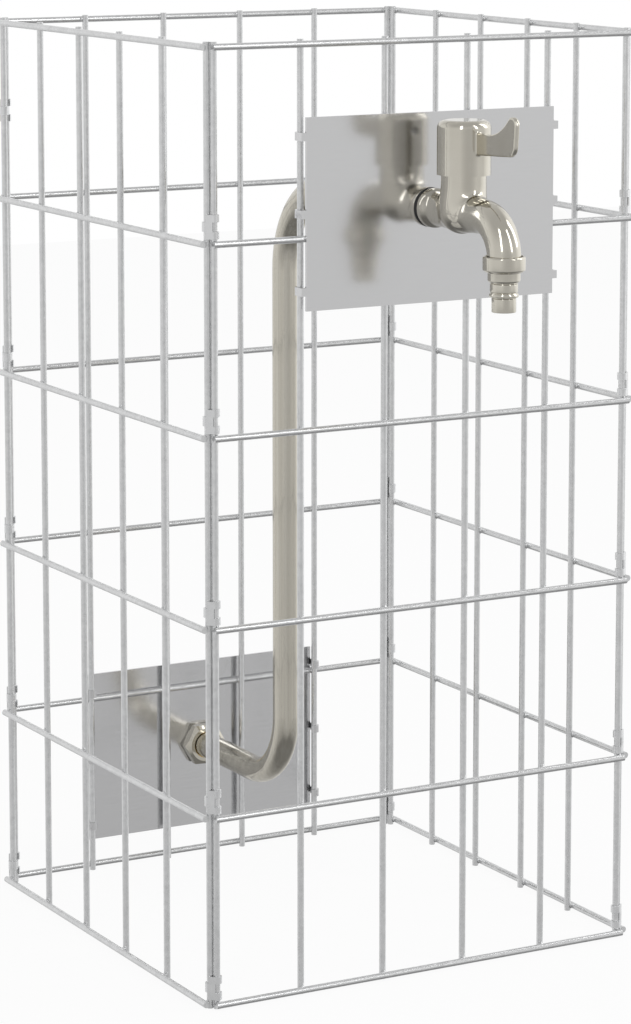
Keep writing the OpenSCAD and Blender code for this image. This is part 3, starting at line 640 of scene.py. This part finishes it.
turned("nozzle_nut_turned", softened([
    (NUT_R - NUT_CHAMFER, NUT_TOP), (NUT_R, NUT_TOP - NUT_CHAMFER),
    (NUT_R, NUT_FOOT + NUT_CONE_H), (NUT_R - NUT_CONE_R, NUT_FOOT),
    (NOZZLE_R + NUT_GAP, NUT_FOOT), (NOZZLE_R + NUT_GAP, LIP_TOP),
    (FLANGE_R + NUT_GAP, LIP_TOP), (FLANGE_R + NUT_GAP, NUT_TOP),
], NUT_SOFTENING), "nozzle_nut", "nozzle_nut")
turned("hose_nozzle_turned", softened([
    (WATERWAY_R, FLANGE_TOP), (FLANGE_R, FLANGE_TOP), (FLANGE_R, FLANGE_FOOT), (NOZZLE_R, FLANGE_FOOT),
    (NOZZLE_R, STEP_Z + STEP_CHAMFER_H), (NOZZLE_R - STEP_CHAMFER_R, STEP_Z), (NECKING_R, STEP_Z),
    (NECKING_R, STEP_Z - UNDERCUT_H), (STEM_R, STEP_Z - UNDERCUT_H - UNDERCUT_SLANT),
    (STEM_R, GROOVE_HIGH), (GROOVE_R, GROOVE_HIGH - GROOVE_SLANT),
    (GROOVE_R, GROOVE_LOW + GROOVE_SLANT), (STEM_R, GROOVE_LOW),
    (BEAD_R, BEAD_Z + BEAD_H), (BEAD_FOOT_R, BEAD_Z), (UNDERCUT_R, BEAD_Z),
    (UNDERCUT_R, BEAD_Z - UNDERCUT_H), (HOSE_END_R, BEAD_Z - UNDERCUT_H - UNDERCUT_SLANT),
    (HOSE_END_R, TIP_Z), (WATERWAY_R, TIP_Z),
], NOZZLE_SOFTENING), "stand", "hose_nozzle")


# Compression nut

PIPE_R = radius_mm("riser_pipe")
HEX_HOLE_R = PIPE_R + 0.5
HEX_BORE_R = PIPE_R + 1.75
HEX_LIP = 1.8
HEX_RIM_SHARE = 0.86
HEX_CONE = math.radians(30)
HEX_SHARP = math.radians(12)
HEX_DEGREES = range(0, 360, 5)


def chamfered_nut(node):
    """A hexagonal nut on a level axis, its corners cut back by a shallow cone at both ends."""
    low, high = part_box(node)
    centre = (low + high) / 2
    wide, tall = (high.x - low.x) / MM, (high.z - low.z) / MM
    flats = min(wide, tall) / 2
    turn = 0 if wide < tall else 30
    length = (high.y - low.y) / MM
    rim = HEX_RIM_SHARE * flats
    points = []
    for a in HEX_DEGREES:
        off = (a - turn + 30) % 60 - 30
        reach = flats / math.cos(math.radians(off))
        cut = (reach - rim) * math.tan(HEX_CONE)
        profile = [
            (HEX_HOLE_R, 0), (rim, 0), (reach, cut), (reach, length - cut), (rim, length),
            (HEX_BORE_R, length), (HEX_BORE_R, HEX_LIP), (HEX_HOLE_R, HEX_LIP),
        ]
        x, z = math.cos(math.radians(a)), math.sin(math.radians(a))
        points += [(centre.x + r * x * MM, low.y + y * MM, centre.z + r * z * MM) for r, y in profile]
    faces = swept_faces(len(profile), len(HEX_DEGREES))
    item = nickel_piece(node + "_chamfered", points, faces, "stand", node)
    item.data.set_sharp_from_angle(angle=HEX_SHARP)


chamfered_nut("inlet_compression_nut")


# Weld beads, one where each rail crosses an upright

WIRE = 3.5 * MM
WIRES = 6
HALF_CAGE = 0.125
CELL_WIDE = 0.05
CELL_TALL = 0.1
FIRST_RAIL_Z = 0.0025
WELD_SINK = 0.15 * MM
WELD_R = 2.0 * MM
WELD_DEEP = 0.85 * MM
WELD_WOBBLE = 0.15 * MM
WELD_PHASES = (7.3, 3.1)


def beads(panel, along, outward):
    """Small fused fillets on a panel; along is the rails' axis and outward the way its rails face."""
    low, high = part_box(panel)
    side = 1 - along
    inner = low[side] if outward > 0 else high[side]
    deep = inner + outward * (WIRE - WELD_SINK)
    columns = [-HALF_CAGE + CELL_WIDE * k for k in range(WIRES)]
    rows = [FIRST_RAIL_Z + CELL_TALL * k for k in range(WIRES)]
    work = bmesh.new()
    for i, a in enumerate(columns):
        for k, z in enumerate(rows):
            made = bmesh.ops.create_icosphere(work, subdivisions=2, radius=1.0)
            wobble = WELD_WOBBLE * math.sin(WELD_PHASES[0] * i + WELD_PHASES[1] * k)
            size = [0.0, 0.0, WELD_R + wobble]
            size[along] = WELD_R - wobble
            size[side] = WELD_DEEP
            place = [0.0, 0.0, z]
            place[along] = a
            place[side] = deep
            for vertex in made["verts"]:
                vertex.co = Vector(place[n] + vertex.co[n] * size[n] for n in range(3))
    mesh = bpy.data.meshes.new(panel + "_welds")
    work.to_mesh(mesh)
    work.free()
    add_piece(panel + "_welds", mesh, GALVANISED, "stand")


beads("front_mesh_panel", 0, -1)
beads("rear_mesh_panel", 0, 1)
beads("left_mesh_panel", 1, -1)
beads("right_mesh_panel", 1, 1)


# Floor and world

FLOOR_SIZE = 6
FLOOR_DROP = 0.0002
FLOOR_GREY = (0.8, 0.8, 0.8, 1)
FLOOR_ROUGHNESS = 0.9
FLOOR_GLOW = 0.93
# Greys of the room from straight down, at 0, over eye level, at 0.5, to straight up, at 1
ROOM_FRONT = [
    (0.0, 0.24), (0.17, 0.24), (0.23, 0.4), (0.29, 0.52), (0.37, 0.65),
    (0.43, 0.78), (0.5, 0.8), (0.65, 0.75), (0.85, 0.57),
]
ROOM_BACK = [(0.0, 0.5), (0.3, 0.76), (0.45, 0.9), (0.55, 0.92), (0.7, 0.86), (0.9, 0.66)]
CAMERA_SIDE = (-0.14, -0.98, -0.1)
CAMERA_SIDE_GREY = 0.6
RIGHT_SIDE = (0.97, 0.1, 0.25)
RIGHT_SIDE_GREY = 1.25


def maximum(tree, a, b):
    node = tree.nodes.new("ShaderNodeMath")
    node.operation = "MAXIMUM"
    tree.links.new(a, node.inputs[0])
    tree.links.new(b, node.inputs[1])
    return node.outputs[0]


def mix_shader(tree, share, a, b):
    """Shader a, or b where the share is 1."""
    node = tree.nodes.new("ShaderNodeMixShader")
    tree.links.new(share, node.inputs["Fac"])
    tree.links.new(a.outputs[0], node.inputs[1])
    tree.links.new(b.outputs[0], node.inputs[2])
    return node


def pale_floor():
    """White to the eye under the object's soft shadow; reflections pass through it to the room."""
    bpy.ops.mesh.primitive_plane_add(size=FLOOR_SIZE, location=(0, 0, -FLOOR_DROP))
    floor = bpy.context.object
    floor.name = "floor"
    material, tree, shader = new_material("floor_paper")
    shader.inputs["Base Color"].default_value = FLOOR_GREY
    shader.inputs["Roughness"].default_value = FLOOR_ROUGHNESS
    path = tree.nodes.new("ShaderNodeLightPath")
    share = tree.nodes.new("ShaderNodeMath")
    share.operation = "MULTIPLY"
    share.inputs[1].default_value = FLOOR_GLOW
    seen = maximum(tree, path.outputs["Is Camera Ray"], path.outputs["Is Transmission Ray"])
    tree.links.new(seen, share.inputs[0])
    paper = mix_shader(tree, share.outputs[0], shader, tree.nodes.new("ShaderNodeEmission"))
    clear = tree.nodes.new("ShaderNodeBsdfTransparent")
    both = mix_shader(tree, path.outputs["Is Glossy Ray"], paper, clear)
    tree.links.new(both.outputs[0], tree.nodes["Material Output"].inputs["Surface"])
    paint(floor, material)


def toward(tree, direction, aim, start, stop):
    """Rises from 0 to 1 as a direction turns towards the aim."""
    node = tree.nodes.new("ShaderNodeVectorMath")
    node.operation = "DOT_PRODUCT"
    node.inputs[1].default_value = aim
    tree.links.new(direction, node.inputs[0])
    return spread(tree, node.outputs["Value"], 0.0, 1.0, start, stop)


def blend(tree, share, a, b):
    """Colour a, or b where the share is 1; b may be a plain grey."""
    node = tree.nodes.new("ShaderNodeMix")
    node.data_type = "RGBA"
    tree.links.new(share, node.inputs["Factor"])
    tree.links.new(a, node.inputs["A"])
    if isinstance(b, float):
        node.inputs["B"].default_value = (b, b, b, 1)
    else:
        tree.links.new(b, node.inputs["B"])
    return node.outputs["Result"]


def greys(tree, value, stops):
    return ramp(tree, value, [(place, grey, grey, grey) for place, grey in stops])


def studio_world():
    """White to the eye. Light and reflections come from a pale room: dark below, grey round the camera,
    bright at the right."""
    world = bpy.data.worlds.new("studio")
    bpy.context.scene.world = world
    world.use_nodes = True
    tree = world.node_tree
    background = tree.nodes["Background"]
    direction = tree.nodes.new("ShaderNodeTexCoord").outputs["Generated"]
    height = toward(tree, direction, (0, 0, 1), start=-1.0, stop=1.0)
    front = greys(tree, height, ROOM_FRONT)
    back = greys(tree, height, ROOM_BACK)
    behind = toward(tree, direction, (0, 1, 0), start=0.0, stop=0.5)
    at_camera = toward(tree, direction, CAMERA_SIDE, start=0.76, stop=0.98)
    at_right = toward(tree, direction, RIGHT_SIDE, start=0.75, stop=1.0)
    room = blend(tree, behind, front, back)
    room = blend(tree, at_camera, room, CAMERA_SIDE_GREY)
    room = blend(tree, at_right, room, RIGHT_SIDE_GREY)
    path = tree.nodes.new("ShaderNodeLightPath")
    eye = maximum(tree, path.outputs["Is Camera Ray"], path.outputs["Is Transmission Ray"])
    tree.links.new(blend(tree, eye, room, 1.0), background.inputs["Color"])
    background.inputs["Strength"].default_value = 1.0


pale_floor()
studio_world()


# Lamps and camera

LAMP_AIM = (0, -0.1, 0.9)
LENS = 124.37
SENSOR_WIDE = 36
SHIFT_X = 0.0026
SHIFT_Y = -0.19
CAMERA_PLACE = (-0.94661, -1.71014, 0.61552)
CAMERA_DOWN = math.radians(8.003)
CAMERA_TURN = math.radians(29.048)


def lamp(name, place, size, power):
    """A soft box that faces a point over the object."""
    data = bpy.data.lights.new(name, "AREA")
    data.shape = "RECTANGLE"
    data.size, data.size_y = size
    data.energy = power
    item = bpy.data.objects.new(name, data)
    item.location = place
    aim = Vector(LAMP_AIM) - Vector(place)
    item.rotation_euler = aim.to_track_quat("-Z", "Y").to_euler()
    bpy.context.scene.collection.objects.link(item)


def photo_camera():
    """The photo's viewing angle, with as much of its shift as leaves the object whole in other views."""
    data = bpy.data.cameras.new("camera")
    data.lens = LENS
    data.sensor_width = SENSOR_WIDE
    data.shift_x = SHIFT_X
    data.shift_y = SHIFT_Y
    camera = bpy.data.objects.new("camera", data)
    camera.location = CAMERA_PLACE
    camera.rotation_euler = Euler((math.pi / 2 - CAMERA_DOWN, 0, -CAMERA_TURN))
    bpy.context.scene.collection.objects.link(camera)
    bpy.context.scene.camera = camera


lamp("left_box", (-1.2, -1.4, 1.5), (0.3, 1.6), 5)
lamp("middle_box", (0.7, -1.75, 1.5), (0.3, 1.6), 5)
lamp("right_box", (1.75, -0.6, 1.5), (0.5, 1.6), 8)
photo_camera()
bpy.context.scene.view_settings.view_transform = "Standard"
